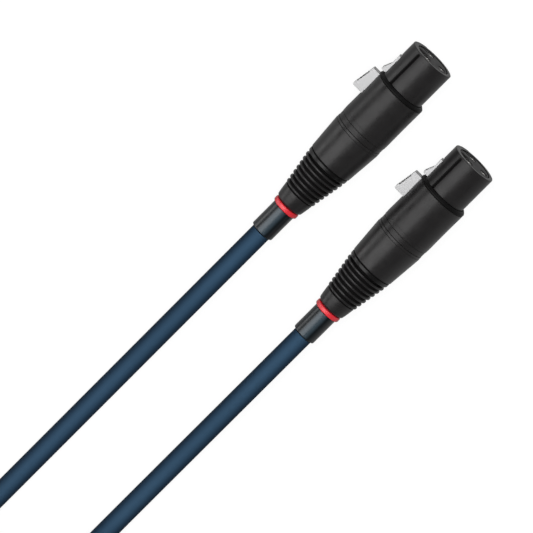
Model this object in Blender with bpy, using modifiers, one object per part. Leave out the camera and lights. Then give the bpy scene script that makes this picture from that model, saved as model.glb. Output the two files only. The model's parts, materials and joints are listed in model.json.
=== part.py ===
"""Balanced microphone cable with a three-pole female connector on both ends, wound into a flat coil.

Metres, +Z up. Both connectors lie on the floor with their axes along +X, mouths towards +X and
latches towards +Y. Each connector hangs from an empty at the centre of its front rim.
"""
import math

import bmesh
import bpy

MM = 0.001

# Connector, lengths behind the front rim and radii from the axis, in millimetres
NOSE_R, KEY_R, BODY_R = 8.0, 8.5, 9.4
MOUTH_R, THREAD_R = 6.5, 7.6
SHELL_END, KEY_START, LIP_START, GROOVE_AT = 32.8, 0.9, 13.5, 15.45
KEY_HALF_ANGLE = math.radians(51)
GAP = 0.3

# Contact insert and its three sockets
INSERT_R, INSERT_FRONT, INSERT_END = 6.2, 0.5, 26.0
CONTACT_CIRCLE_R, CONTACT_SIDE, CONTACT_UP = 4.165, 3.81, 1.68
CONTACTS = ((CONTACT_UP, CONTACT_SIDE), (CONTACT_UP, -CONTACT_SIDE), (-CONTACT_CIRCLE_R, 0.0))
SOCKET_R, SOCKET_BORE_R, SOCKET_FRONT, SOCKET_END = 1.5, 1.15, 1.4, 30.0
TONGUE_HALF, TONGUE_LOW = 2.5, 2.25
CHANNEL_FLOOR = 4.0

# Latch lever, turning on a pin near its front end
LATCH_HALF, PIVOT_BACK, PIVOT_UP, PIN_R, PIN_FIT = 2.15, 7.5, 7.2, 0.5, 0.05
TAB_FRONT, TAB_BACK, TAB_LOW_R, TAB_HIGH_R = 15.6, 24.3, 12.0, 13.2
SERRATIONS, SERRATION_PITCH, SERRATION_DEPTH = 5, 1.0, 0.35
TAB_SWING = 0.65  # room behind the tab, which moves back as it is pressed

# Collar, bushing, chuck and boot
COLLAR = (33.1, 34.8, 9.2)
BOOT_START, BOOT_CONE_END, BOOT_END = 35.1, 49.7, 68.9
RIDGES, RIDGE_PITCH, FIRST_RIDGE, FIRST_RIDGE_R, LAST_RIDGE_R, RIDGE_DEPTH = 7, 1.71, 51.7, 8.0, 6.2, 0.75
BUSHING = (26.5, 46.0, 6.5, 7.3)
CHUCK = (38.8, 46.0, 3.8, 6.2)
CHUCK_SLOT, CHUCK_SLOTS = 0.8, 4

# Cable and what is slipped over it
CABLE_R, SLIP_R = 3.5, 3.8
MARKER = (69.1, 70.5, 4.85)
SLEEVE = (70.8, 81.5, 4.25)
JACKET_END, CORE_R, CORE_CIRCLE_R = 38.0, 0.6, 1.7

# Where the two connectors lie
FACE_A = (48.1, 15.0, BODY_R)
STEP_BACK, STEP_ASIDE = 14.7, 33.8
FACE_B = (FACE_A[0] - STEP_BACK, FACE_A[1] - STEP_ASIDE, BODY_R)

# Coil of spare cable: two turns wide, three high
COIL_BEHIND, COIL_Y, COIL_MID_R = 258.0, -16.0, 33.75
TURNS_WIDE, TURNS_HIGH = 2, 3
BEND_R = 32.0
STRAIGHT_OUT, DROP_LENGTH = 15.0, 60.0
CLIMB_START, CLIMB_LENGTH = 4.0, 48.0
ROUTE_STEP, TUBE_STEP, BENT_TUBE_STEP = 2.0, 14.0, 7.0
EXIT_GAP = 0.3

for old in list(bpy.data.objects):
    bpy.data.objects.remove(old, do_unlink=True)

PARTS = bpy.data.collections.new("microphone_cable")
CUTTERS = bpy.data.collections.new("cutters")
CUTTERS.hide_render = True
for group in (PARTS, CUTTERS):
    bpy.context.scene.collection.children.link(group)


def material(name, colour, roughness, metallic):
    made = bpy.data.materials.new(name)
    made.use_nodes = True
    shader = made.node_tree.nodes["Principled BSDF"]
    shader.inputs["Base Color"].default_value = (*colour, 1)
    shader.inputs["Roughness"].default_value = roughness
    shader.inputs["Metallic"].default_value = metallic
    made.diffuse_color = (*colour, 1)
    made.roughness, made.metallic = roughness, metallic
    return made


MATERIALS = {
    "shell": ((0.020, 0.019, 0.020), 0.38, 0.4),
    "insert": ((0.030, 0.029, 0.030), 0.5, 0.0),
    "contact": ((0.80, 0.58, 0.22), 0.25, 1.0),
    "latch": ((0.50, 0.50, 0.51), 0.45, 0.0),
    "latch_pin": ((0.55, 0.55, 0.56), 0.3, 1.0),
    "latch_spring": ((0.50, 0.50, 0.52), 0.3, 1.0),
    "collar": ((0.026, 0.025, 0.026), 0.45, 0.0),
    "bushing": ((0.035, 0.034, 0.034), 0.5, 0.0),
    "chuck": ((0.60, 0.59, 0.56), 0.5, 0.0),
    "boot": ((0.022, 0.021, 0.022), 0.6, 0.0),
    "marker_ring": ((0.72, 0.030, 0.045), 0.4, 0.0),
    "sleeve": ((0.012, 0.016, 0.019), 0.18, 0.0),
    "cable": ((0.022, 0.060, 0.110), 0.45, 0.0),
    "core_1": ((0.60, 0.62, 0.62), 0.5, 0.0),
    "core_2": ((0.55, 0.02, 0.02), 0.5, 0.0),
    "core_3": ((0.02, 0.05, 0.35), 0.5, 0.0),
}


def dress(obj, kind):
    """Each sub-part has a material of its own, named for it."""
    obj.data.materials.clear()
    obj.data.materials.append(material(obj.name, *MATERIALS[kind]))
    return obj


def place(obj, parent, group):
    group.objects.link(obj)
    obj.parent = parent
    if group is CUTTERS:
        obj.hide_render = True
        obj.display_type = "WIRE"
    return obj


def turned(name, outline, steps, parent, group=PARTS, merge=0.00001):
    """Turned shape. outline holds (distance behind the rim, radius), outer side from the front back."""
    mesh = bpy.data.meshes.new(name)
    points = [(r * MM, 0, -back * MM) for back, r in outline]
    count = len(points)
    mesh.from_pydata(points, [(i, (i + 1) % count) for i in range(count)], [])
    obj = place(bpy.data.objects.new(name, mesh), parent, group)
    obj.rotation_euler = (0, math.pi / 2, 0)
    screw = obj.modifiers.new("turn", "SCREW")
    screw.axis = "Z"
    screw.steps = screw.render_steps = steps
    screw.use_merge_vertices = True
    screw.merge_threshold = merge
    screw.use_smooth_shade = False
    return obj


def prism(name, outline, half, parent, group=PARTS):
    """Flat outline of (distance behind the rim, height from the axis) pushed out to both sides."""
    shape = bmesh.new()
    low = [shape.verts.new((-back * MM, up * MM, -half * MM)) for back, up in outline]
    face = shape.faces.new(low)
    pushed = bmesh.ops.extrude_face_region(shape, geom=[face])["geom"]
    raised = [part for part in pushed if isinstance(part, bmesh.types.BMVert)]
    bmesh.ops.translate(shape, vec=(0, 0, 2 * half * MM), verts=raised)
    bmesh.ops.recalc_face_normals(shape, faces=shape.faces)
    mesh = bpy.data.meshes.new(name)
    shape.to_mesh(mesh)
    shape.free()
    return place(bpy.data.objects.new(name, mesh), parent, group)


def rod(name, start, end, radius, sides, parent, group=PARTS):
    """Round rod between two points given as (behind, up, side)."""
    curve = bpy.data.curves.new(name, "CURVE")
    curve.dimensions = "3D"
    curve.bevel_depth = radius * MM
    curve.bevel_resolution = sides
    curve.use_fill_caps = True
    line = curve.splines.new("POLY")
    line.points.add(1)
    for point, (back, up, side) in zip(line.points, (start, end)):
        point.co = (-back * MM, up * MM, side * MM, 1)
    bpy.context.view_layer.update()
    drawn = bpy.data.objects.new(name + "_path", curve)
    bpy.context.scene.collection.objects.link(drawn)
    bpy.context.view_layer.update()
    graph = bpy.context.evaluated_depsgraph_get()
    mesh = bpy.data.meshes.new_from_object(drawn.evaluated_get(graph))
    bpy.data.objects.remove(drawn, do_unlink=True)
    shape = bmesh.new()
    shape.from_mesh(mesh)
    bmesh.ops.remove_doubles(shape, verts=shape.verts, dist=0.000001)
    bmesh.ops.recalc_face_normals(shape, faces=shape.faces)
    shape.to_mesh(mesh)
    shape.free()
    mesh.name = name
    return place(bpy.data.objects.new(name, mesh), parent, group)


def boolean(obj, other, operation="DIFFERENCE"):
    cut = obj.modifiers.new(operation.lower(), "BOOLEAN")
    cut.operation = operation
    cut.object = other
    cut.solver = "EXACT"


def shell(tag, rim):
    """Die-cast body with its front rim, key rib, lip, groove and the slots for the latch."""
    body = turned("shell_" + tag, [
        (0.0, 7.6), (0.12, 7.88), (0.4, NOSE_R), (LIP_START - 0.2, NOSE_R), (LIP_START, 8.3),
        (LIP_START + 0.5, 9.0), (LIP_START + 1.2, 9.35), (GROOVE_AT - 0.15, BODY_R),
        (GROOVE_AT, 9.15), (GROOVE_AT + 0.15, BODY_R), (24.0, BODY_R - 0.06), (SHELL_END - 0.3, BODY_R),
        (SHELL_END, 9.1), (SHELL_END, THREAD_R), (INSERT_END + 0.3, THREAD_R),
        (INSERT_END + 0.3, MOUTH_R), (0.0, MOUTH_R)], 32, rim)
    rib = bpy.data.meshes.new("key_rib_" + tag)
    shape = bmesh.new()
    arc = [(-1 + 2 * i / 10) * KEY_HALF_ANGLE for i in range(11)]
    ring = [(KEY_R * math.cos(a), KEY_R * math.sin(a)) for a in arc]
    ring += [(7.3 * math.cos(a), 7.3 * math.sin(a)) for a in reversed(arc)]
    front = [shape.verts.new((-KEY_START * MM, up * MM, side * MM)) for up, side in ring]
    face = shape.faces.new(front)
    pushed = bmesh.ops.extrude_face_region(shape, geom=[face])["geom"]
    raised = [part for part in pushed if isinstance(part, bmesh.types.BMVert)]
    bmesh.ops.translate(shape, vec=(-(LIP_START + 0.4 - KEY_START) * MM, 0, 0), verts=raised)
    bmesh.ops.recalc_face_normals(shape, faces=shape.faces)
    shape.to_mesh(rib)
    shape.free()
    boolean(body, place(bpy.data.objects.new("key_rib_" + tag, rib), rim, CUTTERS), "UNION")
    front_end, hook_end = 5.8, LIP_START + 0.7
    tunnel_top, bridge_end, rear_end = 8.2, TAB_FRONT - GAP, TAB_BACK + TAB_SWING
    slot = prism("latch_slot_" + tag, [
        (front_end, 5.0), (front_end, 12.0), (hook_end, 12.0), (hook_end, tunnel_top),
        (bridge_end, tunnel_top), (bridge_end, 14.0), (rear_end, 14.0), (rear_end, 5.0)],
        LATCH_HALF + GAP, rim, CUTTERS)
    boolean(body, slot)
    hole = rod("pin_hole_" + tag, (PIVOT_BACK, PIVOT_UP, -3.5), (PIVOT_BACK, PIVOT_UP, 3.5),
               PIN_R + PIN_FIT, 3, rim, CUTTERS)
    boolean(body, hole)
    return dress(body, "shell")


def insert(tag, rim):
    """Insulating core that carries the three sockets, with the key tongue flush with the rim."""
    core = turned("insert_" + tag, [
        (INSERT_FRONT, 0.0), (INSERT_FRONT, INSERT_R), (INSERT_END, INSERT_R), (INSERT_END, 0.0)],
        32, rim)
    tongue = prism("tongue_" + tag, [
        (0.0, TONGUE_LOW), (0.0, 5.55), (3.0, 5.55), (3.0, TONGUE_LOW)], TONGUE_HALF, rim, CUTTERS)
    boolean(core, tongue, "UNION")
    channel = prism("channel_" + tag, [
        (5.0, CHANNEL_FLOOR), (5.0, 9.0), (INSERT_END + 1, 9.0), (INSERT_END + 1, CHANNEL_FLOOR)],
        LATCH_HALF + 0.5, rim, CUTTERS)
    boolean(core, channel)
    for number, (up, side) in enumerate(CONTACTS, 1):
        hole = turned(f"contact_hole_{tag}{number}", [
            (-1.0, 0.0), (-1.0, 1.35), (SOCKET_FRONT - GAP, 1.35), (SOCKET_FRONT - GAP, SOCKET_R + 0.2),
            (INSERT_END + 1, SOCKET_R + 0.2), (INSERT_END + 1, 0.0)], 12, rim, CUTTERS)
        hole.location = (0, up * MM, side * MM)
        boolean(core, hole)
    return dress(core, "insert")


def contacts(tag, rim):
    """Turned sockets, bored from the front and with a solder cup behind."""
    for number, (up, side) in enumerate(CONTACTS, 1):
        socket = turned(f"contact_{number}_{tag}", [
            (SOCKET_FRONT, SOCKET_BORE_R + 0.12), (SOCKET_FRONT, SOCKET_R), (INSERT_END + 0.5, SOCKET_R),
            (INSERT_END + 0.5, 1.1), (SOCKET_END, 1.1), (SOCKET_END, 0.75), (SOCKET_END - 2.4, 0.75),
            (SOCKET_END - 2.6, 0.0), (14.0, 0.0), (13.6, SOCKET_BORE_R), (2.0, SOCKET_BORE_R)], 12, rim)
        socket.location = (0, up * MM, side * MM)
        dress(socket, "contact")
        start = (SOCKET_END + GAP, up, side)
        reach = math.hypot(up, side)
        end = (JACKET_END - GAP, up / reach * CORE_CIRCLE_R, side / reach * CORE_CIRCLE_R)
        dress(rod(f"core_{number}_{tag}", start, end, CORE_R, 1, rim), f"core_{number}")


def latch(tag, rim):
    """One-piece lever: hook in the key rib, neck under the lip, serrated thumb tab behind."""
    pivot = bpy.data.objects.new("latch_pivot_" + tag, None)
    pivot.location = (-PIVOT_BACK * MM, PIVOT_UP * MM, 0)
    pivot.parent = rim
    PARTS.objects.link(pivot)
    rise = (TAB_HIGH_R - TAB_LOW_R) / (TAB_BACK - TAB_FRONT)
    outline = [(6.1, 6.3), (6.1, 8.5), (6.4, 8.8), (10.3, 8.8), (13.3, 10.1), (13.7, 9.95),
               (13.8, 9.6), (13.8, 7.9), (TAB_FRONT, 7.9), (TAB_FRONT, TAB_LOW_R - 0.3),
               (TAB_FRONT + 0.3, TAB_LOW_R)]
    for i in range(SERRATIONS):
        at = TAB_FRONT + 2.0 + i * SERRATION_PITCH
        top = TAB_LOW_R + rise * (at - TAB_FRONT)
        outline += [(at, top), (at + 0.15, top - SERRATION_DEPTH),
                    (at + 0.55, top - SERRATION_DEPTH), (at + 0.7, top + rise * 0.7)]
    outline += [(TAB_BACK - 0.5, TAB_HIGH_R), (TAB_BACK, TAB_HIGH_R - 0.5), (TAB_BACK, 7.0), (15.0, 6.4)]
    lever = prism("latch_" + tag, [(b - PIVOT_BACK, u - PIVOT_UP) for b, u in outline],
                  LATCH_HALF, pivot)
    bore = rod("latch_bore_" + tag, (0, 0, -3), (0, 0, 3), PIN_R + PIN_FIT, 3, pivot, CUTTERS)
    boolean(lever, bore)
    dress(lever, "latch")
    dress(rod("latch_pin_" + tag, (PIVOT_BACK, PIVOT_UP, -3.2), (PIVOT_BACK, PIVOT_UP, 3.2),
              PIN_R, 3, rim), "latch_pin")
    spring = prism("latch_spring_" + tag, [
        (23.0, 4.3), (16.9, 4.3), (16.4, 4.55), (16.3, 5.0), (16.7, 5.35), (22.4, 6.5), (22.5, 6.2),
        (16.9, 5.05), (16.7, 4.8), (17.0, 4.6), (23.0, 4.6)], 1.4, rim)
    dress(spring, "latch_spring")


def rear(tag, rim):
    """Collar, threaded bushing, clamping chuck, ridged boot, marker ring, shrunk sleeve, jacket."""
    start, end, radius = COLLAR
    dress(turned("collar_" + tag, [
        (start, radius - 0.2), (start + 0.2, radius), (end - 0.2, radius), (end, radius - 0.2),
        (end, THREAD_R), (start, THREAD_R)], 32, rim), "collar")
    start, end, bore_r, radius = BUSHING
    dress(turned("bushing_" + tag, [
        (start, radius - 0.5), (start + 0.5, radius), (end - 0.5, radius), (end, radius - 0.5),
        (end, bore_r), (start, bore_r)], 20, rim), "bushing")
    start, end, bore_r, radius = CHUCK
    chuck = turned("chuck_" + tag, [
        (start, radius - 0.5), (start + 0.5, radius), (end - 2.0, radius), (end, radius - 1.2),
        (end, bore_r), (start, bore_r)], 20, rim)
    for i in range(CHUCK_SLOTS):
        cut = prism(f"chuck_slot_{tag}{i}", [
            (start + 2, bore_r - 1), (start + 2, radius + 1), (end + 1, radius + 1), (end + 1, bore_r - 1)],
            CHUCK_SLOT / 2, rim, CUTTERS)
        cut.rotation_euler = (math.tau * (i + 0.5) / CHUCK_SLOTS, 0, 0)
        boolean(chuck, cut)
    dress(chuck, "chuck")
    outline = [(BOOT_START, 9.1), (BOOT_START + 0.15, 9.35), (BOOT_START + 0.5, 9.35),
               (BOOT_START + 0.65, 9.2), (BOOT_START + 0.8, 9.3), (BOOT_CONE_END - 0.9, 8.33),
               (BOOT_CONE_END - 0.2, 8.1), (BOOT_CONE_END + 0.1, 7.5)]
    for i in range(RIDGES):
        crest = FIRST_RIDGE + i * RIDGE_PITCH
        r = FIRST_RIDGE_R + (LAST_RIDGE_R - FIRST_RIDGE_R) * i / (RIDGES - 1)
        outline += [(crest - 0.4, r), (crest + 0.4, r - 0.05), (crest + 0.85, r - RIDGE_DEPTH)]
    outline += [(63.3, 5.85), (67.2, 5.35), (68.4, 5.0), (BOOT_END, 4.4), (BOOT_END, SLIP_R),
                (60.0, SLIP_R), (48.5, 5.5), (46.6, THREAD_R), (BOOT_START, THREAD_R)]
    dress(turned("boot_" + tag, outline, 24, rim), "boot")
    start, end, radius = MARKER
    dress(turned("marker_ring_" + tag, [
        (start, radius - 0.4), (start + 0.3, radius), (end - 0.3, radius), (end, radius - 0.4),
        (end, SLIP_R), (start, SLIP_R)], 24, rim), "marker_ring")
    start, end, radius = SLEEVE
    dress(turned("sleeve_" + tag, [
        (start, radius - 0.15), (start + 0.3, radius), (end - 0.3, radius), (end, radius - 0.2),
        (end, SLIP_R), (start, SLIP_R)], 24, rim), "sleeve")
    dress(turned("jacket_" + tag, [
        (JACKET_END, 0.0), (JACKET_END, CABLE_R), (SLEEVE[1] - GAP, CABLE_R), (SLEEVE[1] - GAP, 0.0)],
        20, rim), "cable")


def ease(t):
    t = min(max(t, 0.0), 1.0)
    return t * t * (3 - 2 * t)


def lead_route(face, side):
    """Centre line from the sleeve's end to where it joins the coil's outer turn. side is +1 or -1 in Y."""
    centre_x = FACE_A[0] - COIL_BEHIND
    outer_turn = COIL_MID_R + (TURNS_WIDE - 1) * CABLE_R
    exit_x = face[0] - SLEEVE[1] - EXIT_GAP
    top = CABLE_R if side > 0 else (2 * TURNS_HIGH - 1) * CABLE_R
    bend = math.acos((side * (face[1] - COIL_Y) + BEND_R) / (outer_turn + BEND_R))
    bends_from = centre_x + (outer_turn + BEND_R) * math.sin(bend)
    steps = math.ceil((exit_x - bends_from) / ROUTE_STEP)
    points = [(exit_x + (bends_from - exit_x) * i / steps, face[1]) for i in range(steps)]
    arc_steps = math.ceil(bend * BEND_R / ROUTE_STEP)
    for i in range(arc_steps + 1):
        a = bend * i / arc_steps
        points.append((bends_from - BEND_R * math.sin(a), face[1] + side * BEND_R * (1 - math.cos(a))))
    to_go = [0.0]
    for near, far in zip(points[::-1], points[-2::-1]):
        to_go.append(to_go[-1] + math.dist(near, far))
    route = []
    for (x, y), left in zip(points, reversed(to_go)):
        fall = ease((exit_x - x - STRAIGHT_OUT) / DROP_LENGTH)
        climb = ease(1 - (left - CLIMB_START) / CLIMB_LENGTH)
        route.append((x, y, face[2] + (CABLE_R - face[2]) * fall + (top - CABLE_R) * climb))
    return route


def lead(name, face, side):
    """Cable from a connector to the coil. It stops where the coil's solid begins."""
    route = lead_route(face, side)
    centre = (FACE_A[0] - COIL_BEHIND, COIL_Y)
    coil_edge = COIL_MID_R + TURNS_WIDE * CABLE_R
    clear = [p for p in route if math.dist(p[:2], centre) > coil_edge + CABLE_R + GAP]
    kept = [clear[0]]
    for point in clear[1:]:
        bent = math.dist(point[:2], centre) < 2 * coil_edge
        if math.dist(point, kept[-1]) >= (BENT_TUBE_STEP if bent else TUBE_STEP):
            kept.append(point)
    if kept[-1] != clear[-1]:
        kept[-1] = clear[-1]
    curve = bpy.data.curves.new(name, "CURVE")
    curve.dimensions = "3D"
    curve.bevel_depth = CABLE_R * MM
    curve.bevel_resolution = 2
    curve.use_fill_caps = True
    line = curve.splines.new("POLY")
    line.points.add(len(kept) - 1)
    for point, (x, y, z) in zip(line.points, kept):
        point.co = (x * MM, y * MM, z * MM, 1)
    obj = place(bpy.data.objects.new(name, curve), None, PARTS)
    return dress(obj, "cable")


def coil():
    """All the turns as one ring with a scalloped section."""
    low, pitch = CABLE_R, 2 * CABLE_R
    reach = TURNS_WIDE * CABLE_R
    outer = []
    for layer in range(TURNS_HIGH - 1, -1, -1):
        z = low + layer * pitch
        outer += [(COIL_MID_R + reach - 0.6, z + 2.6), (COIL_MID_R + reach, z + 1.1),
                  (COIL_MID_R + reach, z - 1.1), (COIL_MID_R + reach - 0.6, z - 2.6)]
    inner = [(2 * COIL_MID_R - r, z) for r, z in reversed(outer)]
    top = (2 * TURNS_HIGH) * CABLE_R
    outline = [(COIL_MID_R + reach - 1.9, top), *outer, (COIL_MID_R + reach - 1.9, 0.0),
               (COIL_MID_R - reach + 1.9, 0.0), *inner, (COIL_MID_R - reach + 1.9, top)]
    mesh = bpy.data.meshes.new("coil")
    count = len(outline)
    mesh.from_pydata([(r * MM, 0, z * MM) for r, z in outline],
                     [(i, (i + 1) % count) for i in range(count)], [])
    obj = place(bpy.data.objects.new("coil", mesh), None, PARTS)
    obj.location = ((FACE_A[0] - COIL_BEHIND) * MM, COIL_Y * MM, 0)
    screw = obj.modifiers.new("turn", "SCREW")
    screw.axis = "Z"
    screw.steps = screw.render_steps = 32
    screw.use_merge_vertices = True
    screw.merge_threshold = 0.00001
    screw.use_smooth_shade = False
    return dress(obj, "cable")


for tag, face in (("a", FACE_A), ("b", FACE_B)):
    rim = bpy.data.objects.new("front_rim_" + tag, None)
    rim.location = [value * MM for value in face]
    PARTS.objects.link(rim)
    shell(tag, rim)
    insert(tag, rim)
    contacts(tag, rim)
    latch(tag, rim)
    rear(tag, rim)
lead("lead_a", FACE_A, 1)
lead("lead_b", FACE_B, -1)
coil()
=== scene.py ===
"""Looks for the microphone cable with a female connector on both ends.

Metres. Both connectors point along +X with their latches towards +Y, lying on the floor.
Every shape is turned or pressed at the size of the CAD solid it stands for, to a few tenths
of a millimetre. Outlines are lists of (behind the rim, radius or height, corner radius) in
millimetres.
"""

import json  # noqa: E402
import math  # noqa: E402
import random  # noqa: E402

import bmesh  # noqa: E402
import bpy  # noqa: E402
from mathutils import Matrix, Vector  # noqa: E402

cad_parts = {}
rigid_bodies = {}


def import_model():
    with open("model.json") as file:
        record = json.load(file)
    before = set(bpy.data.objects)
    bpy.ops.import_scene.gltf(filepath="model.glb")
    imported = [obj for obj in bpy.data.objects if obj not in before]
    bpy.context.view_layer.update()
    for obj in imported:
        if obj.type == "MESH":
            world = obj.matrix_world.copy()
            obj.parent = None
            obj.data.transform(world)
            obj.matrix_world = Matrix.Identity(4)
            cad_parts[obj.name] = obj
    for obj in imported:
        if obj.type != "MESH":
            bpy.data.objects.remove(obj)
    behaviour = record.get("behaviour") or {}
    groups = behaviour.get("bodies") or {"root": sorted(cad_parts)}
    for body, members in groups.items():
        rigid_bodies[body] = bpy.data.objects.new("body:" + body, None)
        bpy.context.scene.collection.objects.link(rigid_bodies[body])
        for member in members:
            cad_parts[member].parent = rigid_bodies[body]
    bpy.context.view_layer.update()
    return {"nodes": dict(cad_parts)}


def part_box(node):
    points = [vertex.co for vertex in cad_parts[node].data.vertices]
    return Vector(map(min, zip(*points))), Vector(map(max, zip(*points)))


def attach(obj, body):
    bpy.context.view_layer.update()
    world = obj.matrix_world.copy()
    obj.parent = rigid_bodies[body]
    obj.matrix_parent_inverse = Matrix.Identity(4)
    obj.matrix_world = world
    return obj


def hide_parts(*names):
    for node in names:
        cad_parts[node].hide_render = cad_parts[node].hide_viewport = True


for old in list(bpy.data.objects):
    bpy.data.objects.remove(old, do_unlink=True)

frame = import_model()
MM = 0.001
ROOT = "cable"

# Lengths behind the front rim, radii from the axis and half widths, in millimetres
NOSE_R, BODY_R, MOUTH_R, THREAD_R = 8.0, 9.4, 6.5, 7.6
LIP_START, GROOVE_AT, SHELL_END = 13.9, 15.7, 32.85
KEY_HALF_ANGLE, KEY_RISE = math.radians(55.2), 0.5
CHANNEL_START, CHANNEL_WIDTH, CHANNEL_DEPTH, CHANNEL_EDGE = 0.9, 0.72, 0.4, 0.14
TONGUE_HALF, SLOT_HALF, FACE_AT = 1.6, 1.05, 0.2
CONTACTS = ((1.68, 3.81), (1.68, -3.81), (-4.165, 0.0))
LATCH_HALF, PIVOT_BACK, PIVOT_UP = 2.15, 7.5, 7.2
TAB_FRONT, TAB_BACK, TAB_LOW_R, TAB_HIGH_R = 15.7, 24.4, 12.05, 13.4
NOTCHES, FIRST_NOTCH, NOTCH_PITCH = 5, 1.75, 1.1
COLLAR_START, COLLAR_END, BOOT_START = 32.97, 34.93, 35.02
RIDGES, RIDGE_PITCH, FIRST_RIDGE, FIRST_RIDGE_R, LAST_RIDGE_R = 7, 1.82, 51.9, 8.08, 6.25
CONE_END, GROOVE_END, TAIL_START, TAIL_END = 48.7, 51.3, 63.65, 68.9
RING_START, RING_END, RING_R = 69.0, 70.75, 4.88
CABLE_R, SLIP_R, SLEEVE_R = 3.5, 3.8, 4.25
SLEEVE_START, SLEEVE_END, EXIT_GAP = 70.85, 81.5, 0.3
JACKET_START, JACKET_END, JACKET_STEPS = 38.0, 81.2, 12

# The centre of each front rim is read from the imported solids
RIMS = {}
for tag in "ab":
    low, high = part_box("shell_" + tag)
    boot_low, boot_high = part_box("boot_" + tag)
    RIMS[tag] = Vector((high.x, (boot_low.y + boot_high.y) / 2, (boot_low.z + boot_high.z) / 2))

# ---------------------------------------------------------------- camera
TILT = math.radians(13.0)
LENS, SENSOR = 800.0, 36.0
SPAN, AIM_BACK, AIM_ASIDE = 0.1748, 0.0866, 0.00926  # metres
toward = Vector((math.sin(TILT), 0, math.cos(TILT)))
along = Vector((math.cos(TILT), 0, -math.sin(TILT)))
across = Vector((0, 1, 0))
right, up = (along - across).normalized(), (along + across).normalized()
target = RIMS["a"] - along * AIM_BACK - across * AIM_ASIDE
camera = bpy.data.objects.new("camera", bpy.data.cameras.new("camera"))
bpy.context.scene.collection.objects.link(camera)
camera.data.lens, camera.data.sensor_width = LENS, SENSOR
camera.data.clip_start, camera.data.clip_end = 0.1, 30
camera.matrix_world = Matrix((
    (right.x, up.x, toward.x, 0), (right.y, up.y, toward.y, 0), (right.z, up.z, toward.z, 0),
    (0, 0, 0, 1)))
camera.location = target + toward * (SPAN * LENS / SENSOR)
bpy.context.scene.camera = camera

# ---------------------------------------------------------------- the cable's route
COIL_BEHIND, COIL_Y, COIL_MID_R = 258.0, -16.0, 33.75
OUTER_TURN, INNER_TURN = COIL_MID_R + CABLE_R, COIL_MID_R - CABLE_R
BEND_R, STRAIGHT_OUT, DROP_LENGTH = 32.0, 15.0, 60.0
CLIMB_START, CLIMB_LENGTH, ROUTE_STEP = 4.0, 48.0, 2.0
WHOLE_TURNS, POINTS_A_TURN = 5, 96
FACES = {tag: tuple(v / MM for v in RIMS[tag]) for tag in RIMS}
COIL_X = FACES["a"][0] - COIL_BEHIND


def ease(t):
    t = min(max(t, 0.0), 1.0)
    return t * t * (3 - 2 * t)


def lead_route(face, side):
    """Centre line from the sleeve's end to the coil's outer turn, and the angle it joins at."""
    exit_x = face[0] - SLEEVE_END - EXIT_GAP
    top = CABLE_R if side > 0 else 5 * CABLE_R
    bend = math.acos((side * (face[1] - COIL_Y) + BEND_R) / (OUTER_TURN + BEND_R))
    bends_from = COIL_X + (OUTER_TURN + BEND_R) * math.sin(bend)
    steps = math.ceil((exit_x - bends_from) / ROUTE_STEP)
    points = [(exit_x + (bends_from - exit_x) * i / steps, face[1]) for i in range(steps)]
    arc_steps = math.ceil(bend * BEND_R / ROUTE_STEP)
    for i in range(arc_steps + 1):
        a = bend * i / arc_steps
        aside = side * BEND_R * (1 - math.cos(a))
        points.append((bends_from - BEND_R * math.sin(a), face[1] + aside))
    to_go = [0.0]
    for near, far in zip(points[::-1], points[-2::-1]):
        to_go.append(to_go[-1] + math.dist(near, far))
    route = []
    for (x, y), left in zip(points, reversed(to_go)):
        fall = ease((exit_x - x - STRAIGHT_OUT) / DROP_LENGTH)
        climb = ease(1 - (left - CLIMB_START) / CLIMB_LENGTH)
        route.append((x, y, face[2] + (CABLE_R - face[2]) * fall + (top - CABLE_R) * climb))
    return route, bend


def coil_route(start, end):
    """Turns between two angles, anticlockwise: each layer's outer and inner turn in order.

    radial and upward hold the part of the route, in turns, where it shifts by one pitch.
    """
    pitch = 2 * CABLE_R
    radial = ((0.72, 1.0, -1), (2.72, 3.0, 1), (3.74, 4.0, -1), (4.72, 5.0, 1))
    upward = ((1.66, 1.96), (3.62, 3.88))
    turns = (end - start) / math.tau
    count = round(turns * POINTS_A_TURN)
    route = []
    for i in range(1, count):
        t = turns * i / count
        r = OUTER_TURN + sum(sign * pitch * ease((t - a) / (b - a)) for a, b, sign in radial)
        z = CABLE_R + sum(pitch * ease((t - a) / (b - a)) for a, b in upward)
        angle = start + t * math.tau
        route.append((COIL_X + r * math.cos(angle), COIL_Y + r * math.sin(angle), z))
    return route


lead_a, bend_a = lead_route(FACES["a"], 1)
lead_b, bend_b = lead_route(FACES["b"], -1)
turns_from = math.pi / 2 - bend_a
turns_to = -math.pi / 2 + bend_b + (WHOLE_TURNS + 1) * math.tau
ROUTE = [Vector(p) * MM for p in lead_a + coil_route(turns_from, turns_to) + lead_b[::-1]]


# ---------------------------------------------------------------- materials
BROAD_SHARE = 0.06  # scale of the broad noise as a share of the fine one's


def shader_of(mat):
    return mat.node_tree.nodes["Principled BSDF"]


def new_material(name, colour, roughness, metallic=0.0, specular=0.5):
    mat = bpy.data.materials.new(name)
    mat.use_nodes = True
    shader = shader_of(mat)
    shader.inputs["Base Color"].default_value = (*colour, 1)
    shader.inputs["Roughness"].default_value = roughness
    shader.inputs["Metallic"].default_value = metallic
    shader.inputs["Specular IOR Level"].default_value = specular
    mat.diffuse_color = (*colour, 1)
    return mat


def noise(node, scale, detail):
    made = node("ShaderNodeTexNoise")
    made.inputs["Scale"].default_value, made.inputs["Detail"].default_value = scale, detail
    return made


def colour_mix(node, first, second):
    """Colour mix node. Its inputs are 0 factor, 6 first and 7 second, and its output is 2."""
    made = node("ShaderNodeMix")
    made.data_type = "RGBA"
    made.inputs[6].default_value, made.inputs[7].default_value = (*first, 1), (*second, 1)
    return made


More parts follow.
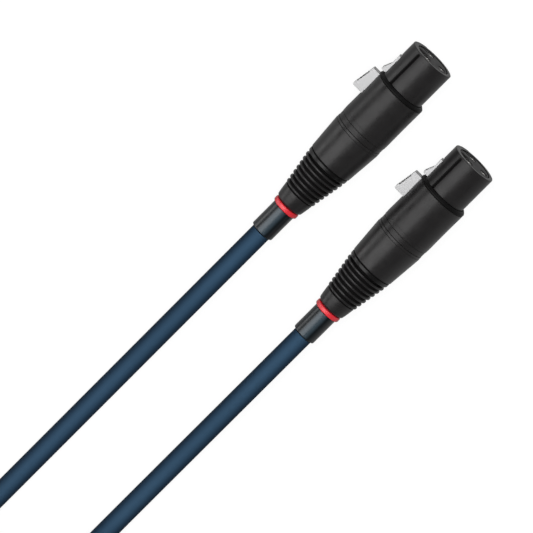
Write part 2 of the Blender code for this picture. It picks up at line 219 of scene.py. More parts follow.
def bumped(tree, height, strength, distance):
    """Bump from the height socket into the shader, distance in metres."""
    bump = tree.nodes.new("ShaderNodeBump")
    bump.inputs["Strength"].default_value = strength
    bump.inputs["Distance"].default_value = distance
    tree.links.new(height, bump.inputs["Height"])
    tree.links.new(bump.outputs["Normal"], tree.nodes["Principled BSDF"].inputs["Normal"])


def grain(mat, scale, depth, spread, tint, stretch):
    """Fine surface grain: bump, wandering roughness and a little colour variation.

    scale is of the fine noise, depth the bump's in millimetres, spread the whole range of the
    roughness and tint the share by which the colour varies. Returns the colour's mix node.
    """
    tree, shader = mat.node_tree, shader_of(mat)
    node, link = tree.nodes.new, tree.links.new
    place = node("ShaderNodeTexCoord")
    mapped = node("ShaderNodeMapping")
    mapped.inputs["Scale"].default_value = stretch
    link(place.outputs["Object"], mapped.inputs["Vector"])
    fine = noise(node, scale, 4.0)
    link(mapped.outputs["Vector"], fine.inputs["Vector"])
    broad = noise(node, scale * BROAD_SHARE, 3.0)
    link(mapped.outputs["Vector"], broad.inputs["Vector"])
    bumped(tree, fine.outputs["Fac"], 0.35, depth * MM)
    rough = shader.inputs["Roughness"].default_value
    wander = node("ShaderNodeMapRange")
    wander.inputs["From Min"].default_value, wander.inputs["From Max"].default_value = 0.3, 0.7
    wander.inputs["To Min"].default_value = max(rough - spread / 2, 0.02)
    wander.inputs["To Max"].default_value = min(rough + spread / 2, 1)
    link(broad.outputs["Fac"], wander.inputs["Value"])
    link(wander.outputs["Result"], shader.inputs["Roughness"])
    base = shader.inputs["Base Color"].default_value[:3]
    mix = colour_mix(node, [c * (1 - tint) for c in base], [min(c * (1 + tint), 1) for c in base])
    blend = node("ShaderNodeMath")
    blend.operation = "ADD"
    blend.use_clamp = True
    half_fine = node("ShaderNodeMath")
    half_fine.operation = "MULTIPLY_ADD"
    half_fine.inputs[1].default_value, half_fine.inputs[2].default_value = 0.5, -0.25
    link(fine.outputs["Fac"], half_fine.inputs[0])
    link(half_fine.outputs[0], blend.inputs[0])
    link(broad.outputs["Fac"], blend.inputs[1])
    link(blend.outputs[0], mix.inputs[0])
    link(mix.outputs[2], shader.inputs["Base Color"])
    return mix


def paint_recess_shade(mat, mix, share):
    """Painted shade: darkens the colour where the mesh's own recess value is high, in grooves,
    gaps and inner walls.
    """
    tree, shader = mat.node_tree, shader_of(mat)
    value = tree.nodes.new("ShaderNodeAttribute")
    value.attribute_name = "recess"
    base = shader.inputs["Base Color"].default_value[:3]
    dark = colour_mix(tree.nodes.new, base, [c * (1 - share) for c in base])
    tree.links.new(mix.outputs[2], dark.inputs[6])
    tree.links.new(value.outputs["Fac"], dark.inputs[0])
    tree.links.new(dark.outputs[2], shader.inputs["Base Color"])


def paint_top_light(mat, low, high, start, end, power):
    """Painted light and shade: scales the colour from low on the flanks to high where the surface
    faces up.
    """
    tree, shader = mat.node_tree, shader_of(mat)
    node, link = tree.nodes.new, tree.links.new
    place = node("ShaderNodeTexCoord")
    split = node("ShaderNodeSeparateXYZ")
    link(place.outputs["Normal"], split.inputs[0])
    share = node("ShaderNodeMapRange")
    share.inputs["From Min"].default_value = start
    share.inputs["From Max"].default_value = end
    link(split.outputs["Z"], share.inputs["Value"])
    curve = node("ShaderNodeMath")
    curve.operation = "POWER"
    curve.inputs[1].default_value = power
    link(share.outputs["Result"], curve.inputs[0])
    scale = colour_mix(node, low, high)
    link(curve.outputs[0], scale.inputs[0])
    final = node("ShaderNodeMix")
    final.data_type, final.blend_type = "RGBA", "MULTIPLY"
    final.inputs[0].default_value = 1.0
    before = shader.inputs["Base Color"].links[0].from_socket
    link(before, final.inputs[6])
    link(scale.outputs[2], final.inputs[7])
    link(final.outputs[2], shader.inputs["Base Color"])


def cable_jacket():
    """Satin PVC jacket: long draw lines, fine grain, and painted shade on its flanks."""
    mat = new_material("navy_jacket", (0.030, 0.068, 0.120), 0.7, specular=0.03)
    tree, shader = mat.node_tree, shader_of(mat)
    node, link = tree.nodes.new, tree.links.new
    uv = node("ShaderNodeUVMap")
    uv.uv_map = "UVMap"
    stretched = node("ShaderNodeMapping")
    stretched.inputs["Scale"].default_value = (1.0, 90.0, 1.0)
    link(uv.outputs["UV"], stretched.inputs["Vector"])
    draw_lines = noise(node, 1.0, 5.0)
    link(stretched.outputs["Vector"], draw_lines.inputs["Vector"])
    place = node("ShaderNodeTexCoord")
    fine = noise(node, 3500.0, 3.0)
    link(place.outputs["Object"], fine.inputs["Vector"])
    total = node("ShaderNodeMath")
    total.operation = "MULTIPLY_ADD"
    total.inputs[1].default_value = 0.6
    link(fine.outputs["Fac"], total.inputs[0])
    link(draw_lines.outputs["Fac"], total.inputs[2])
    bumped(tree, total.outputs[0], 0.25, 0.03 * MM)
    mix = colour_mix(node, (0.0290, 0.066, 0.116), (0.0335, 0.074, 0.130))
    link(draw_lines.outputs["Fac"], mix.inputs[0])
    link(mix.outputs[2], shader.inputs["Base Color"])
    rough = node("ShaderNodeMapRange")
    rough.inputs["To Min"].default_value, rough.inputs["To Max"].default_value = 0.5, 0.6
    link(fine.outputs["Fac"], rough.inputs["Value"])
    link(rough.outputs["Result"], shader.inputs["Roughness"])
    # Painted shade on the flanks and painted light along the top
    paint_top_light(mat, (0.46, 0.48, 0.50), (1.15, 1.14, 1.12), 0.5, 1.0, 2.0)
    return mat


def finished(name, colour, roughness, scale, depth, recess=0.0, spread=0.12, tint=0.12,
             stretch=(1, 1, 1), **rest):
    """Grained material, darkened by painted shade in its recesses by the share recess."""
    mat = new_material(name, colour, roughness, **rest)
    mix = grain(mat, scale, depth, spread, tint, stretch)
    if recess:
        paint_recess_shade(mat, mix, recess)
    return mat


# The number after the grain depth, where given, is the share of painted shade in a look's recesses
LOOKS = {
    "shell": finished("black_shell", (0.0168, 0.0160, 0.0163), 0.33, 5200, 0.010, 0.6,
                      specular=0.30),
    # Black put on faces that stand in painted shade: grooves, gaps, slots and inner walls
    "pit": finished("black_painted_shade", (0.0060, 0.0057, 0.0058), 0.7, 4200, 0.010, specular=0.04),
    "lip": finished("black_lip", (0.0062, 0.0060, 0.0061), 0.42, 4200, 0.010, 0.5, specular=0.08),
    "insert": finished("black_insert", (0.022, 0.0213, 0.0217), 0.5, 4200, 0.012, specular=0.25),
    "contact": finished("silver_contact", (0.62, 0.61, 0.59), 0.3, 2600, 0.004, metallic=0.6),
    "latch": finished("grey_latch", (0.585, 0.585, 0.59), 0.42, 3800, 0.008, tint=0.03,
                      specular=0.3),
    "latch_pin": finished("steel_pin", (0.55, 0.55, 0.56), 0.25, 2600, 0.004, metallic=1.0),
    "latch_spring": finished("spring_steel", (0.48, 0.48, 0.50), 0.3, 2600, 0.004, metallic=1.0,
                             stretch=(1, 8, 1)),
    "collar": finished("black_collar", (0.0165, 0.0157, 0.0160), 0.35, 4600, 0.010, 0.85,
                       specular=0.29),
    "bushing": finished("black_bushing", (0.018, 0.0175, 0.0175), 0.5, 4200, 0.012),
    "chuck": finished("pale_chuck", (0.58, 0.57, 0.53), 0.5, 3800, 0.010, tint=0.05),
    "boot": finished("black_boot", (0.0165, 0.0157, 0.0160), 0.34, 4800, 0.010, 0.9,
                     specular=0.38),
    "marker_ring": finished("red_ring", (0.76, 0.022, 0.036), 0.4, 3600, 0.001, tint=0.02,
                            specular=0.9),
    "sleeve": finished("shrunk_sleeve", (0.0014, 0.0046, 0.0066), 0.3, 5200, 0.002, spread=0.02,
                       specular=0.6),
    "cable": cable_jacket(),
    "core_1": finished("pale_core", (0.58, 0.60, 0.60), 0.45, 3000, 0.006, tint=0.05),
    "core_2": finished("red_core", (0.52, 0.025, 0.02), 0.45, 3000, 0.006, tint=0.05),
    "core_3": finished("blue_core", (0.02, 0.05, 0.33), 0.45, 3000, 0.006, tint=0.05),
}
# Painted highlight: a pale line along the top of the shiny sleeve
paint_top_light(LOOKS["sleeve"], (0.75, 0.85, 0.9), (22.0, 10.5, 9.5), 0.90, 0.98, 1.0)


# ---------------------------------------------------------------- shapes
PAINTED_SHADE_FROM = 0.85  # mean recess value above which a face takes the black of painted shade


def link_piece(name, mesh, look, body=ROOT, replaced=(), deep=None):
    """Piece that rides a body. deep is the dark look of painted shade on its recessed faces."""
    obj = bpy.data.objects.new(name, mesh)
    bpy.context.scene.collection.objects.link(obj)
    mesh.materials.append(LOOKS[look])
    if deep:
        mesh.materials.append(LOOKS[deep])
    if deep and "recess" in mesh.attributes:
        value = mesh.attributes["recess"].data
        for face in mesh.polygons:
            total = sum(value[v].value for v in face.vertices)
            face.material_index = int(total > PAINTED_SHADE_FROM * len(face.vertices))
    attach(obj, body)
    if replaced:
        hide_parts(*replaced)
    return obj


def smooth(mesh, angle=32):
    mesh.shade_smooth()
    mesh.set_sharp_from_angle(angle=math.radians(angle))


def rounded(points, steps=4):
    """Outline with corners rounded. Each point is (a, b) or (a, b, radius)."""
    out, count = [], len(points)
    for i, point in enumerate(points):
        radius = point[2] if len(point) > 2 else 0.0
        here = Vector(point[:2])
        if not radius:
            out.append(tuple(here))
            continue
        before, after = Vector(points[i - 1][:2]), Vector(points[(i + 1) % count][:2])
        u, v = (before - here), (after - here)
        angle = u.angle(v)
        if angle > math.radians(176):
            out.append(tuple(here))
            continue
        cut = min(radius / math.tan(angle / 2), u.length * 0.49, v.length * 0.49)
        first, last = here + u.normalized() * cut, here + v.normalized() * cut
        for k in range(steps + 1):
            t = k / steps
            out.append(tuple(first * (1 - t) ** 2 + here * 2 * t * (1 - t) + last * t * t))
    return out


def supported(outline, hold=0.12):
    """The outline with a point near both ends of every long run, which then shades flat."""
    out = []
    for i, here in enumerate(outline):
        out.append(here)
        a, b = Vector(here), Vector(outline[(i + 1) % len(outline)])
        if (b - a).length > 6 * hold:
            step = (b - a).normalized() * hold
            out += [tuple(a + step), tuple(b - step)]
    return out


def facing_out(mesh):
    """The same closed mesh, its faces turned to point outwards."""
    made = bmesh.new()
    made.from_mesh(mesh)
    bmesh.ops.recalc_face_normals(made, faces=made.faces)
    made.to_mesh(mesh)
    made.free()
    return mesh


def spun(name, outline, centre, steps=128, recess=None, up_side=(0.0, 0.0)):
    """Closed mesh turned about an axis along X, set off by up_side = (up, side).

    recess(behind, radius) gives how much painted shade each point takes, 0 to 1, mostly by how
    deep in a recess it is.
    """
    verts, faces, values, rings = [], [], [], []
    up_at, side_at = up_side
    for behind, radius in supported(outline):
        value = recess(behind, radius) if recess else 0.0
        if radius < 1e-6:
            rings.append([len(verts)])
            verts.append((-behind, up_at, side_at))
            values.append(value)
            continue
        ring = []
        for k in range(steps):
            a = math.tau * k / steps
            ring.append(len(verts))
            verts.append((-behind, up_at + radius * math.cos(a), side_at + radius * math.sin(a)))
            values.append(value)
        rings.append(ring)
    for one, two in zip(rings, rings[1:] + rings[:1]):
        if len(one) == 1 and len(two) == 1:
            continue
        for k in range(steps):
            n = (k + 1) % steps
            if len(one) == 1:
                faces.append((one[0], two[n], two[k]))
            elif len(two) == 1:
                faces.append((one[k], one[n], two[0]))
            else:
                faces.append((one[k], one[n], two[n], two[k]))
    mesh = bpy.data.meshes.new(name)
    mesh.from_pydata([tuple(Vector(v) * MM + centre) for v in verts], [], faces)
    if recess:
        mesh.attributes.new("recess", "FLOAT", "POINT").data.foreach_set("value", values)
    smooth(facing_out(mesh))
    return mesh


def pressed(name, outline, half, centre, bevel=0.12, sides=3):
    """Outline of (behind, up) pushed out to both sides, with its rims rounded."""
    made = bmesh.new()
    low = [made.verts.new((-b, u, -half)) for b, u in outline]
    face = made.faces.new(low)
    pushed = bmesh.ops.extrude_face_region(made, geom=[face])["geom"]
    raised = [g for g in pushed if isinstance(g, bmesh.types.BMVert)]
    bmesh.ops.translate(made, vec=(0, 0, 2 * half), verts=raised)
    bmesh.ops.recalc_face_normals(made, faces=made.faces)
    rims = [e for e in made.edges if abs(e.verts[0].co.z - e.verts[1].co.z) < 1e-6]
    if bevel:
        bmesh.ops.bevel(made, geom=rims, offset=bevel, segments=sides, profile=0.5, affect="EDGES")
    for vert in made.verts:
        vert.co = Vector(vert.co) * MM + centre
    bmesh.ops.triangulate(made, faces=[f for f in made.faces if len(f.verts) > 4])
    mesh = bpy.data.meshes.new(name)
    made.to_mesh(mesh)
    made.free()
    smooth(mesh)
    return mesh


def subtract(mesh, cutters):
    """The mesh with the closed cutter meshes taken away, exactly."""
    host = bpy.data.objects.new("host", mesh)
    bpy.context.scene.collection.objects.link(host)
    helpers = []
    for cutter in cutters:
        helper = bpy.data.objects.new("cutter", cutter)
        bpy.context.scene.collection.objects.link(helper)
        helpers.append(helper)
        cut = host.modifiers.new("cut", "BOOLEAN")
        cut.operation, cut.solver, cut.object = "DIFFERENCE", "EXACT", helper
    bpy.context.view_layer.update()
    graph = bpy.context.evaluated_depsgraph_get()
    result = bpy.data.meshes.new_from_object(host.evaluated_get(graph))
    for obj in [host, *helpers]:
        bpy.data.objects.remove(obj, do_unlink=True)
    smooth(result)
    return result


def nearest(low, high, fine, coarse, anchors, reach):
    """Positions from low to high, finer within reach of each anchor."""
    at, out = low, [low]
    while at < high:
        close = any(abs(at - anchor) < reach for anchor in anchors)
        at += fine if close else coarse
        out.append(min(at, high))
    return out


def shell_mesh(tag, centre):
    """Cast body as one skin: rim, nose with its raised key rib and a channel beside it, body."""
    def rib_height(behind, angle):
        """How far the surface stands from the nose, and how deep it is in the channel, which sets
        its painted shade.
        """
        off_rib = (abs(angle) - KEY_HALF_ANGLE) * NOSE_R
        rise = KEY_RISE * ease(1 - off_rib / CHANNEL_WIDTH)
        middle = off_rib - CHANNEL_WIDTH / 2
        lengthwise = max(CHANNEL_START + CHANNEL_WIDTH / 2 - behind, 0.0)
        edge = math.hypot(middle, lengthwise) - CHANNEL_WIDTH / 2
        depth = ease(0.5 - edge / CHANNEL_EDGE)
        return rise * (1 - depth) - CHANNEL_DEPTH * depth, depth

    rim_end = 0.55
    front_rows = nearest(rim_end, LIP_START + 0.3, 0.08, 0.7, (CHANNEL_START + 0.3,), 0.55)
    outline = rounded([(0.0, MOUTH_R + 0.35), (0.0, NOSE_R, 0.35), (0.5, NOSE_R)])
    outline = [p for p in outline if p[0] < rim_end]
    half_turn = nearest(0.0, math.pi, 0.008, 0.055, (KEY_HALF_ANGLE + 0.05,), 0.08)
    angles = half_turn[:-1] + [math.tau - a for a in half_turn[:0:-1]]
    rows = [(b, r, True) for b, r in outline] + [(b, NOSE_R, True) for b in front_rows]
    back = rounded([
        (LIP_START + 0.35, 7.9), (GROOVE_AT - 0.05, 7.9), (GROOVE_AT - 0.05, BODY_R, 0.12),
        (17.0, BODY_R - 0.01), (20.0, BODY_R - 0.035), (24.0, BODY_R - 0.05),
        (28.0, BODY_R - 0.03), (31.2, BODY_R), (31.3, BODY_R - 0.04), (31.4, BODY_R - 0.01),
        (SHELL_END, BODY_R - 0.06, 0.07), (SHELL_END, THREAD_R), (26.3, THREAD_R),
        (26.3, MOUTH_R), (0.3, MOUTH_R)])
    rows += [(b, r, False) for b, r in supported(back)[:-2]]
    rows.append((0.06, MOUTH_R + 0.08, False))
    verts, faces, values = [], [], []
    for behind, radius, ribbed in rows:
        for a in angles:
            signed = a if a <= math.pi else a - math.tau
            lift, depth = rib_height(behind, signed) if ribbed else (0.0, 0.0)
            r = radius + lift * (1.0 if radius > MOUTH_R + 1 else 0.0)
            verts.append((-behind, r * math.cos(a), r * math.sin(a)))
            # Painted shade: the inner wall, and the channel by its depth, take the dark shade look
            inner_wall_shade = 1.0 if (not ribbed and radius < 8.0) else 0.0
            values.append(max(depth, inner_wall_shade))
    n = len(angles)
    for i in range(len(rows)):
        j = (i + 1) % len(rows)
        for k in range(n):
            m = (k + 1) % n
            faces.append((i * n + k, i * n + m, j * n + m, j * n + k))
    mesh = bpy.data.meshes.new("shell_" + tag)
    mesh.from_pydata([tuple(Vector(v) * MM + centre) for v in verts], [], faces)
    mesh.attributes.new("recess", "FLOAT", "POINT").data.foreach_set("value", values)
    slot = pressed("slot", rounded([
        (5.8, 5.0), (5.8, 12.0), (14.45, 12.0), (14.45, 8.05), (15.1, 8.05), (15.1, 14.0),
        (TAB_BACK + 0.8, 14.0), (TAB_BACK + 0.8, 5.0)]), LATCH_HALF + 0.3, centre, bevel=0)
    return subtract(facing_out(mesh), [slot])


def lip_mesh(tag, centre):
    """Rounded shoulder ring between the nose and the body, with painted shade on its inner faces.
    """
    outline = rounded([
        (LIP_START + 0.3, 8.25, 0.12), (LIP_START + 0.4, 8.75, 0.4), (LIP_START + 1.05, 9.4, 0.5),
        (GROOVE_AT - 0.2, 9.4, 0.12), (GROOVE_AT - 0.2, 8.1), (LIP_START + 0.3, 8.1)], 6)
    return spun("lip_" + tag, outline, centre, 160, lambda b, r: 1.0 if r < 8.3 else 0.0)


def insert_mesh(tag, centre):
    """Contact carrier: recessed face, tongue flush with the rim between two slots, three bores."""
    outline = rounded([
        (FACE_AT, 0.0), (FACE_AT, 6.32, 0.12), (26.0, 6.2, 0.1), (26.0, 0.0)])
    body = spun("insert_" + tag, outline, centre, 96, lambda b, r: 0.0)
    cutters = [pressed("channel", [(5.0, 4.0), (5.0, 9.0), (27.0, 9.0), (27.0, 4.0)],
                       LATCH_HALF + 0.5, centre, bevel=0)]
    for side in (-1, 1):
        middle = centre + Vector((0, 0, side * (TONGUE_HALF + SLOT_HALF) * MM))
        cutters.append(pressed("tongue_slot", [(-1, 3.35), (-1, 5.95), (4.5, 5.95), (4.5, 3.35)],
                               SLOT_HALF, middle, bevel=0))
    for up_at, side_at in CONTACTS:
        bore = rounded([(-1.0, 0.0), (-1.0, 1.6), (FACE_AT, 1.6), (0.4, 1.4), (0.55, 1.4),
                        (0.55, 1.72), (27.0, 1.72), (27.0, 0.0)])
        cutters.append(spun("bore", bore, centre, 40, up_side=(up_at, side_at)))
    mesh = subtract(body, cutters)
    # Painted shade: the faces behind the front face, slot and bore walls, take the dark shade look
    for face in mesh.polygons:
        behind = (centre.x - face.center.x) / MM
        face.material_index = int(FACE_AT + 0.15 < behind < 25.5)
    return mesh


def tongue_mesh(tag, centre):
    """Tongue of the contact carrier, with painted shade on its sides below its top."""
    outline = rounded([(0.0, 2.25, 0.25), (0.0, 5.6, 0.25), (3.2, 5.6), (3.2, 2.25)])
    mesh = pressed("tongue_" + tag, outline, TONGUE_HALF - 0.02, centre, bevel=0.14)
    for face in mesh.polygons:
        face.material_index = int((centre.x - face.center.x) / MM > FACE_AT + 0.15)
    return mesh


def contact_mesh(tag, number, centre, up_at, side_at):
    """Turned socket with a solder cup at its rear end."""
    outline = rounded([
        (0.6, 1.36), (0.6, 1.6, 0.1), (26.5, 1.6, 0.1), (26.5, 1.1), (30.0, 1.1, 0.06),
        (30.0, 0.75), (27.6, 0.75), (27.4, 0.0), (14.0, 0.0), (13.6, 1.0), (1.0, 1.0)])
    return spun(f"contact_{number}_{tag}", outline, centre, 48, up_side=(up_at, side_at))


def latch_outline():
    """Side view of the lever: hook with its ramp, neck under the lip, notched tab."""
    rise = (TAB_HIGH_R - TAB_LOW_R) / (TAB_BACK - TAB_FRONT)
    points = [(6.6, 6.3), (6.6, 8.9, 0.3), (10.5, 8.95, 0.6), (13.5, 10.2, 0.25),
              (13.92, 9.85, 0.2), (13.92, 7.85, 0.2), (TAB_FRONT, 7.85, 0.2),
              (TAB_FRONT, TAB_LOW_R, 0.22)]
    for i in range(NOTCHES):
        at = TAB_FRONT + FIRST_NOTCH + i * NOTCH_PITCH
        top = TAB_LOW_R + rise * (at - TAB_FRONT)
        points += [(at, top, 0.06), (at + 0.17, top - 0.2, 0.06), (at + 0.33, top - 0.18, 0.06),
                   (at + 0.5, top + rise * 0.5, 0.06)]
    points += [(TAB_BACK, TAB_HIGH_R, 0.7), (TAB_BACK, 7.0, 0.2), (15.0, 6.4)]
    return rounded(points)


def latch_mesh(tag, centre):
    lever = pressed("latch_" + tag, latch_outline(), LATCH_HALF, centre, bevel=0.16)
    bore = spun("bore", [(-3, 0), (-3, 0.55), (3, 0.55), (3, 0)], Vector(), 32)
    bore.transform(Matrix.Rotation(math.pi / 2, 4, "Y"))
    bore.transform(Matrix.Translation(centre + Vector((-PIVOT_BACK, PIVOT_UP, 0)) * MM))
    return subtract(lever, [bore])


def collar_mesh(tag, centre):
    outline = rounded([(COLLAR_START, 9.25, 0.07), (COLLAR_END, 9.2, 0.07),
                       (COLLAR_END, THREAD_R), (COLLAR_START, THREAD_R)])
    # Painted shade on the inner faces
    return spun("collar_" + tag, outline, centre, 160, lambda b, r: 1.0 if r < 8.9 else 0.0)


def boot_mesh(tag, centre):
    """Elastomer boot: front lip, cone, rolled edge and deep groove in painted shade, ridges,
    smooth tail.
    """
    points = [(BOOT_START, 9.15, 0.05), (35.08, 9.3, 0.06), (35.9, 9.3), (36.0, 9.22),
              (36.1, 9.38, 0.1), (39.0, 9.16), (43.0, 8.84), (CONE_END, 8.38, 0.1),
              (48.82, 7.9, 0.08), (49.05, 7.95, 0.12), (49.3, 8.22, 0.3), (50.45, 8.2, 0.4),
              (50.75, 7.6, 0.2), (50.85, 6.95, 0.15), (51.25, 6.95, 0.1)]
    taper = (LAST_RIDGE_R - FIRST_RIDGE_R) / (RIDGES - 1)
    for i in range(RIDGES):
        crest = FIRST_RIDGE + i * RIDGE_PITCH
        r = FIRST_RIDGE_R + taper * i
        points += [(crest - 0.5, r - 0.5, 0.2), (crest - 0.3, r, 0.3),
                   (crest + 0.3, r - 0.04, 0.3), (crest + 0.5, r - 0.5, 0.2),
                   (crest + 0.66, r - 1.0, 0.1), (crest + 1.02, r - 1.05, 0.1)]
    points = points[:-1]
    points += [(63.6, 5.3, 0.1), (63.75, 5.84, 0.25), (65.0, 5.7), (67.0, 5.4), (68.3, 5.15, 0.5),
               (TAIL_END, 4.4, 0.3), (TAIL_END, SLIP_R), (60.0, SLIP_R), (48.5, 5.5),
               (46.6, THREAD_R), (BOOT_START, THREAD_R)]

    def recess(behind, radius):
        if behind > TAIL_START:
            return 0.0
        if behind < CONE_END + 0.05:
            return 1.0 if radius < THREAD_R + 0.1 else 0.0
        if behind < GROOVE_END:
            # Painted shade: full in the groove, and most of it on the rolled edge beside it
            return 1.0 if radius < 8.0 else 0.8
        i = (behind - FIRST_RIDGE) / RIDGE_PITCH
        crest_r = FIRST_RIDGE_R + taper * min(max(i, 0), RIDGES - 1)
        # Painted shade in the valleys between the ridges
        return ease((crest_r - radius - 0.15) / 0.6)

    return spun("boot_" + tag, rounded(points, 5), centre, 144, recess)


def ring_mesh(tag, centre):
    outline = rounded([(RING_START, RING_R, 0.6), (RING_END, RING_R, 0.6), (RING_END, SLIP_R),
                       (RING_START, SLIP_R)], 8)
    return spun("marker_ring_" + tag, outline, centre, 96, lambda b, r: 0.0)


def sleeve_mesh(tag, centre, seed):
    """Heat-shrink tube, very slightly uneven where it shrank, with a soft end on the cable."""
    wave = random.Random(seed)
    waves = [(wave.uniform(0, math.tau), wave.uniform(0.3, 0.9), wave.uniform(0.002, 0.005))
             for _ in range(3)]
    outline = [(SLEEVE_START, SLEEVE_R - 0.15), (70.92, SLEEVE_R - 0.04), (71.05, SLEEVE_R)]
    outline += [(71.2 + 0.45 * i, SLEEVE_R) for i in range(22)]
    outline += [(81.1, SLEEVE_R), (81.32, SLEEVE_R - 0.02), (81.44, SLEEVE_R - 0.1),
                (SLEEVE_END, SLEEVE_R - 0.25), (SLEEVE_END, SLIP_R), (SLEEVE_START, SLIP_R)]
    mesh = spun("sleeve_" + tag, outline, centre, 128, lambda b, r: 0.0)
    for vert in mesh.vertices:
        local = (vert.co - centre) / MM
        radial = Vector((0, local.y, local.z))
        if radial.length < SLEEVE_R - 0.3:
            continue
        angle = math.atan2(local.z, local.y)
        push = sum(size * math.sin(phase + local.x * rate + angle * i)
                   for i, (phase, rate, size) in enumerate(waves))
        vert.co += radial.normalized() * min(push, 0.0) * MM
    return mesh


def tube_mesh(name, route, radius, sides=40):
    """Round tube along the route with capped ends. U is its length in centimetres, V a turn."""
    verts, faces, uvs = [], [], []
    tangent = (route[1] - route[0]).normalized()
    side = tangent.cross(Vector((0, 0, 1))).normalized()
    run = 0.0
    rings = []
    for i, point in enumerate(route):
        before, after = route[max(i - 1, 0)], route[min(i + 1, len(route) - 1)]
        forward = (after - before).normalized()
        side = (side - forward * side.dot(forward)).normalized()
        over = forward.cross(side)
        if i:
            run += (point - route[i - 1]).length
        rings.append(run)
        for k in range(sides):
            a = math.tau * k / sides
            verts.append(point + (side * math.cos(a) + over * math.sin(a)) * radius)
    n = len(route)
    for i in range(n - 1):
        for k in range(sides):
            m = (k + 1) % sides
            faces.append((i * sides + k, i * sides + m, (i + 1) * sides + m, (i + 1) * sides + k))
            u, v = (rings[i] * 100, rings[i + 1] * 100), (k / sides, (k + 1) / sides)
            uvs.append(((u[0], v[0]), (u[0], v[1]), (u[1], v[1]), (u[1], v[0])))
    caps = [tuple(range(sides))[::-1], tuple((n - 1) * sides + k for k in range(sides))]
    mesh = bpy.data.meshes.new(name)
    mesh.from_pydata([tuple(v) for v in verts], [], faces + caps)
    layer = mesh.uv_layers.new(name="UVMap")
    flat = [c for quad in uvs for c in quad] + [(0, 0)] * (2 * sides)
    layer.data.foreach_set("uv", [x for c in flat for x in c])
    smooth(facing_out(mesh), 50)
    return mesh


# ---------------------------------------------------------------- pieces
for tag, centre in RIMS.items():
    lever_body = "latch_lever_" + tag
    link_piece("shell_skin_" + tag, shell_mesh(tag, centre), "shell", deep="pit",
               replaced=["shell_" + tag])
    link_piece("lip_ring_" + tag, lip_mesh(tag, centre), "lip", deep="pit")
    link_piece("insert_face_" + tag, insert_mesh(tag, centre), "insert", deep="pit",
               replaced=["insert_" + tag])
    link_piece("key_tongue_" + tag, tongue_mesh(tag, centre), "insert", deep="pit")
    for number, (up_at, side_at) in enumerate(CONTACTS, 1):
        link_piece(f"socket_{number}_{tag}", contact_mesh(tag, number, centre, up_at, side_at),
                   "contact", replaced=[f"contact_{number}_{tag}"])
    link_piece("latch_skin_" + tag, latch_mesh(tag, centre), "latch", lever_body,
               replaced=["latch_" + tag])
    link_piece("collar_skin_" + tag, collar_mesh(tag, centre), "collar",
               replaced=["collar_" + tag])
    link_piece("boot_skin_" + tag, boot_mesh(tag, centre), "boot", deep="pit",
               replaced=["boot_" + tag])
    link_piece("marker_skin_" + tag, ring_mesh(tag, centre), "marker_ring",
               replaced=["marker_ring_" + tag])
    link_piece("sleeve_skin_" + tag, sleeve_mesh(tag, centre, ord(tag)), "sleeve",
               replaced=["sleeve_" + tag])
    jacket_step = (JACKET_END - JACKET_START) / JACKET_STEPS
    jacket_route = [centre + Vector((-(JACKET_START + jacket_step * i), 0, 0)) * MM
                    for i in range(JACKET_STEPS + 1)]
    link_piece("jacket_skin_" + tag, tube_mesh("jacket_" + tag, jacket_route, CABLE_R * MM),
               "cable", replaced=["jacket_" + tag])
    # The hidden solids stay as they are, in better materials
    for node in ("latch_pin", "latch_spring", "bushing", "chuck", "core_1", "core_2", "core_3"):
        obj = frame["nodes"][f"{node}_{tag}"]
        obj.data.materials.clear()
        obj.data.materials.append(LOOKS[node])
        for face in obj.data.polygons:
            face.material_index = 0

cord = link_piece("cord", tube_mesh("cord", ROUTE, CABLE_R * MM), "cable",
                  replaced=["lead_a", "lead_b", "coil"])

# ---------------------------------------------------------------- floor and light
FLOOR_HALF = 6
FLOOR_GLOW, FLOOR_SHADE, FLOOR_BOUNCE = 0.91, 0.12, 0.5
SKY_COLOUR, SKY_LIT, SKY_MIRRORED = (1.0, 0.99, 0.99, 1), 0.12, 0.10
LIGHT_AWAY = 1.5
floor_mesh = bpy.data.meshes.new("floor")
corners = [(-1, -1), (1, -1), (1, 1), (-1, 1)]
floor_mesh.from_pydata([(x * FLOOR_HALF, y * FLOOR_HALF, 0) for x, y in corners], [],
                       [(0, 1, 2, 3)])
floor = bpy.data.objects.new("floor", floor_mesh)
bpy.context.scene.collection.objects.link(floor)
white = bpy.data.materials.new("pale_floor")
white.use_nodes = True
tree = white.node_tree
tree.nodes.clear()
# The picture sees bright paper with a faint shadow, and reflections see a dimmer one
output = tree.nodes.new("ShaderNodeOutputMaterial")
seen_or_lit = tree.nodes.new("ShaderNodeMixShader")
ray = tree.nodes.new("ShaderNodeLightPath")
bounce = tree.nodes.new("ShaderNodeEmission")
bounce.inputs["Strength"].default_value = FLOOR_BOUNCE
glow = tree.nodes.new("ShaderNodeEmission")
glow.inputs["Strength"].default_value = FLOOR_GLOW
shade = tree.nodes.new("ShaderNodeBsdfDiffuse")
shade.inputs["Color"].default_value = (FLOOR_SHADE, FLOOR_SHADE, FLOOR_SHADE, 1)
paper = tree.nodes.new("ShaderNodeAddShader")
tree.links.new(glow.outputs[0], paper.inputs[0])
tree.links.new(shade.outputs[0], paper.inputs[1])
tree.links.new(ray.outputs["Is Camera Ray"], seen_or_lit.inputs[0])
tree.links.new(bounce.outputs[0], seen_or_lit.inputs[1])
tree.links.new(paper.outputs[0], seen_or_lit.inputs[2])
tree.links.new(seen_or_lit.outputs[0], output.inputs["Surface"])
floor_mesh.materials.append(white)
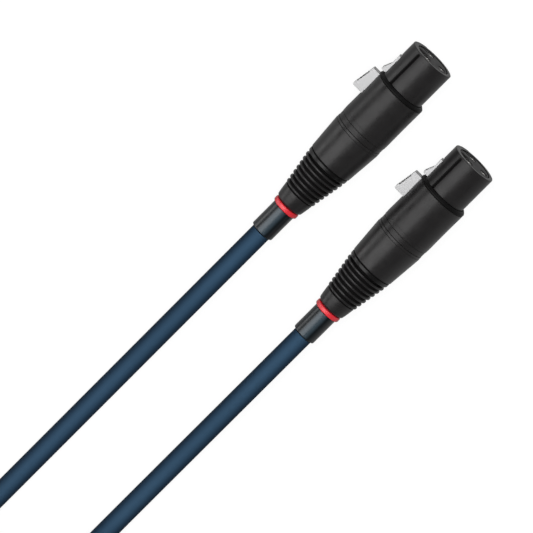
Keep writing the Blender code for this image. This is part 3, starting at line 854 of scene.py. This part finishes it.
floor.visible_diffuse = False


def softbox(name, direction, width, length, power, distance=LIGHT_AWAY, mirrored=True):
    """Soft panel that faces the object, its length in line with the cable.

    A mirrored one shows only in reflections, and the other one lights only the matt colour.
    """
    data = bpy.data.lights.new(name, "AREA")
    data.shape, data.size, data.size_y, data.energy = "RECTANGLE", width, length, power
    obj = bpy.data.objects.new(name, data)
    bpy.context.scene.collection.objects.link(obj)
    back = Vector(direction).normalized()
    side = along.cross(back).normalized()
    obj.matrix_world = Matrix((side, back.cross(side), back)).transposed().to_4x4()
    obj.location = target + back * distance
    obj.visible_glossy, obj.visible_diffuse = mirrored, not mirrored


def tipped(degrees, tailward=0.0):
    """Direction tipped from the camera's towards the latch side, and then towards the tail."""
    a, b = math.radians(degrees), math.radians(tailward)
    facing = toward * math.cos(a) + across * math.sin(a)
    return facing * math.cos(b) - along * math.sin(b)


softbox("key", tipped(25, 18), 1.42, 1.6, 17)
softbox("low_side", tipped(86, 18), 0.5, 1.6, 6.0)
softbox("far_side", tipped(-84, 18), 0.3, 1.6, 0.5)
softbox("mouth_side", tipped(8, -72), 0.4, 0.4, 1.6, distance=1.2)
softbox("front_fill", tipped(2), 1.0, 1.0, 23, mirrored=False)
world = bpy.data.worlds.new("studio")
bpy.context.scene.world = world
world.use_nodes = True
sky = world.node_tree
fill = sky.nodes["Background"]
fill.inputs["Color"].default_value = SKY_COLOUR
fill.inputs["Strength"].default_value = SKY_LIT
mirrored = sky.nodes.new("ShaderNodeBackground")
mirrored.inputs["Color"].default_value = SKY_COLOUR
mirrored.inputs["Strength"].default_value = SKY_MIRRORED
kind = sky.nodes.new("ShaderNodeLightPath")
either = sky.nodes.new("ShaderNodeMixShader")
sky.links.new(kind.outputs["Is Glossy Ray"], either.inputs[0])
sky.links.new(fill.outputs[0], either.inputs[1])
sky.links.new(mirrored.outputs[0], either.inputs[2])
sky.links.new(either.outputs[0], sky.nodes["World Output"].inputs["Surface"])
bpy.context.scene.view_settings.view_transform = "Standard"
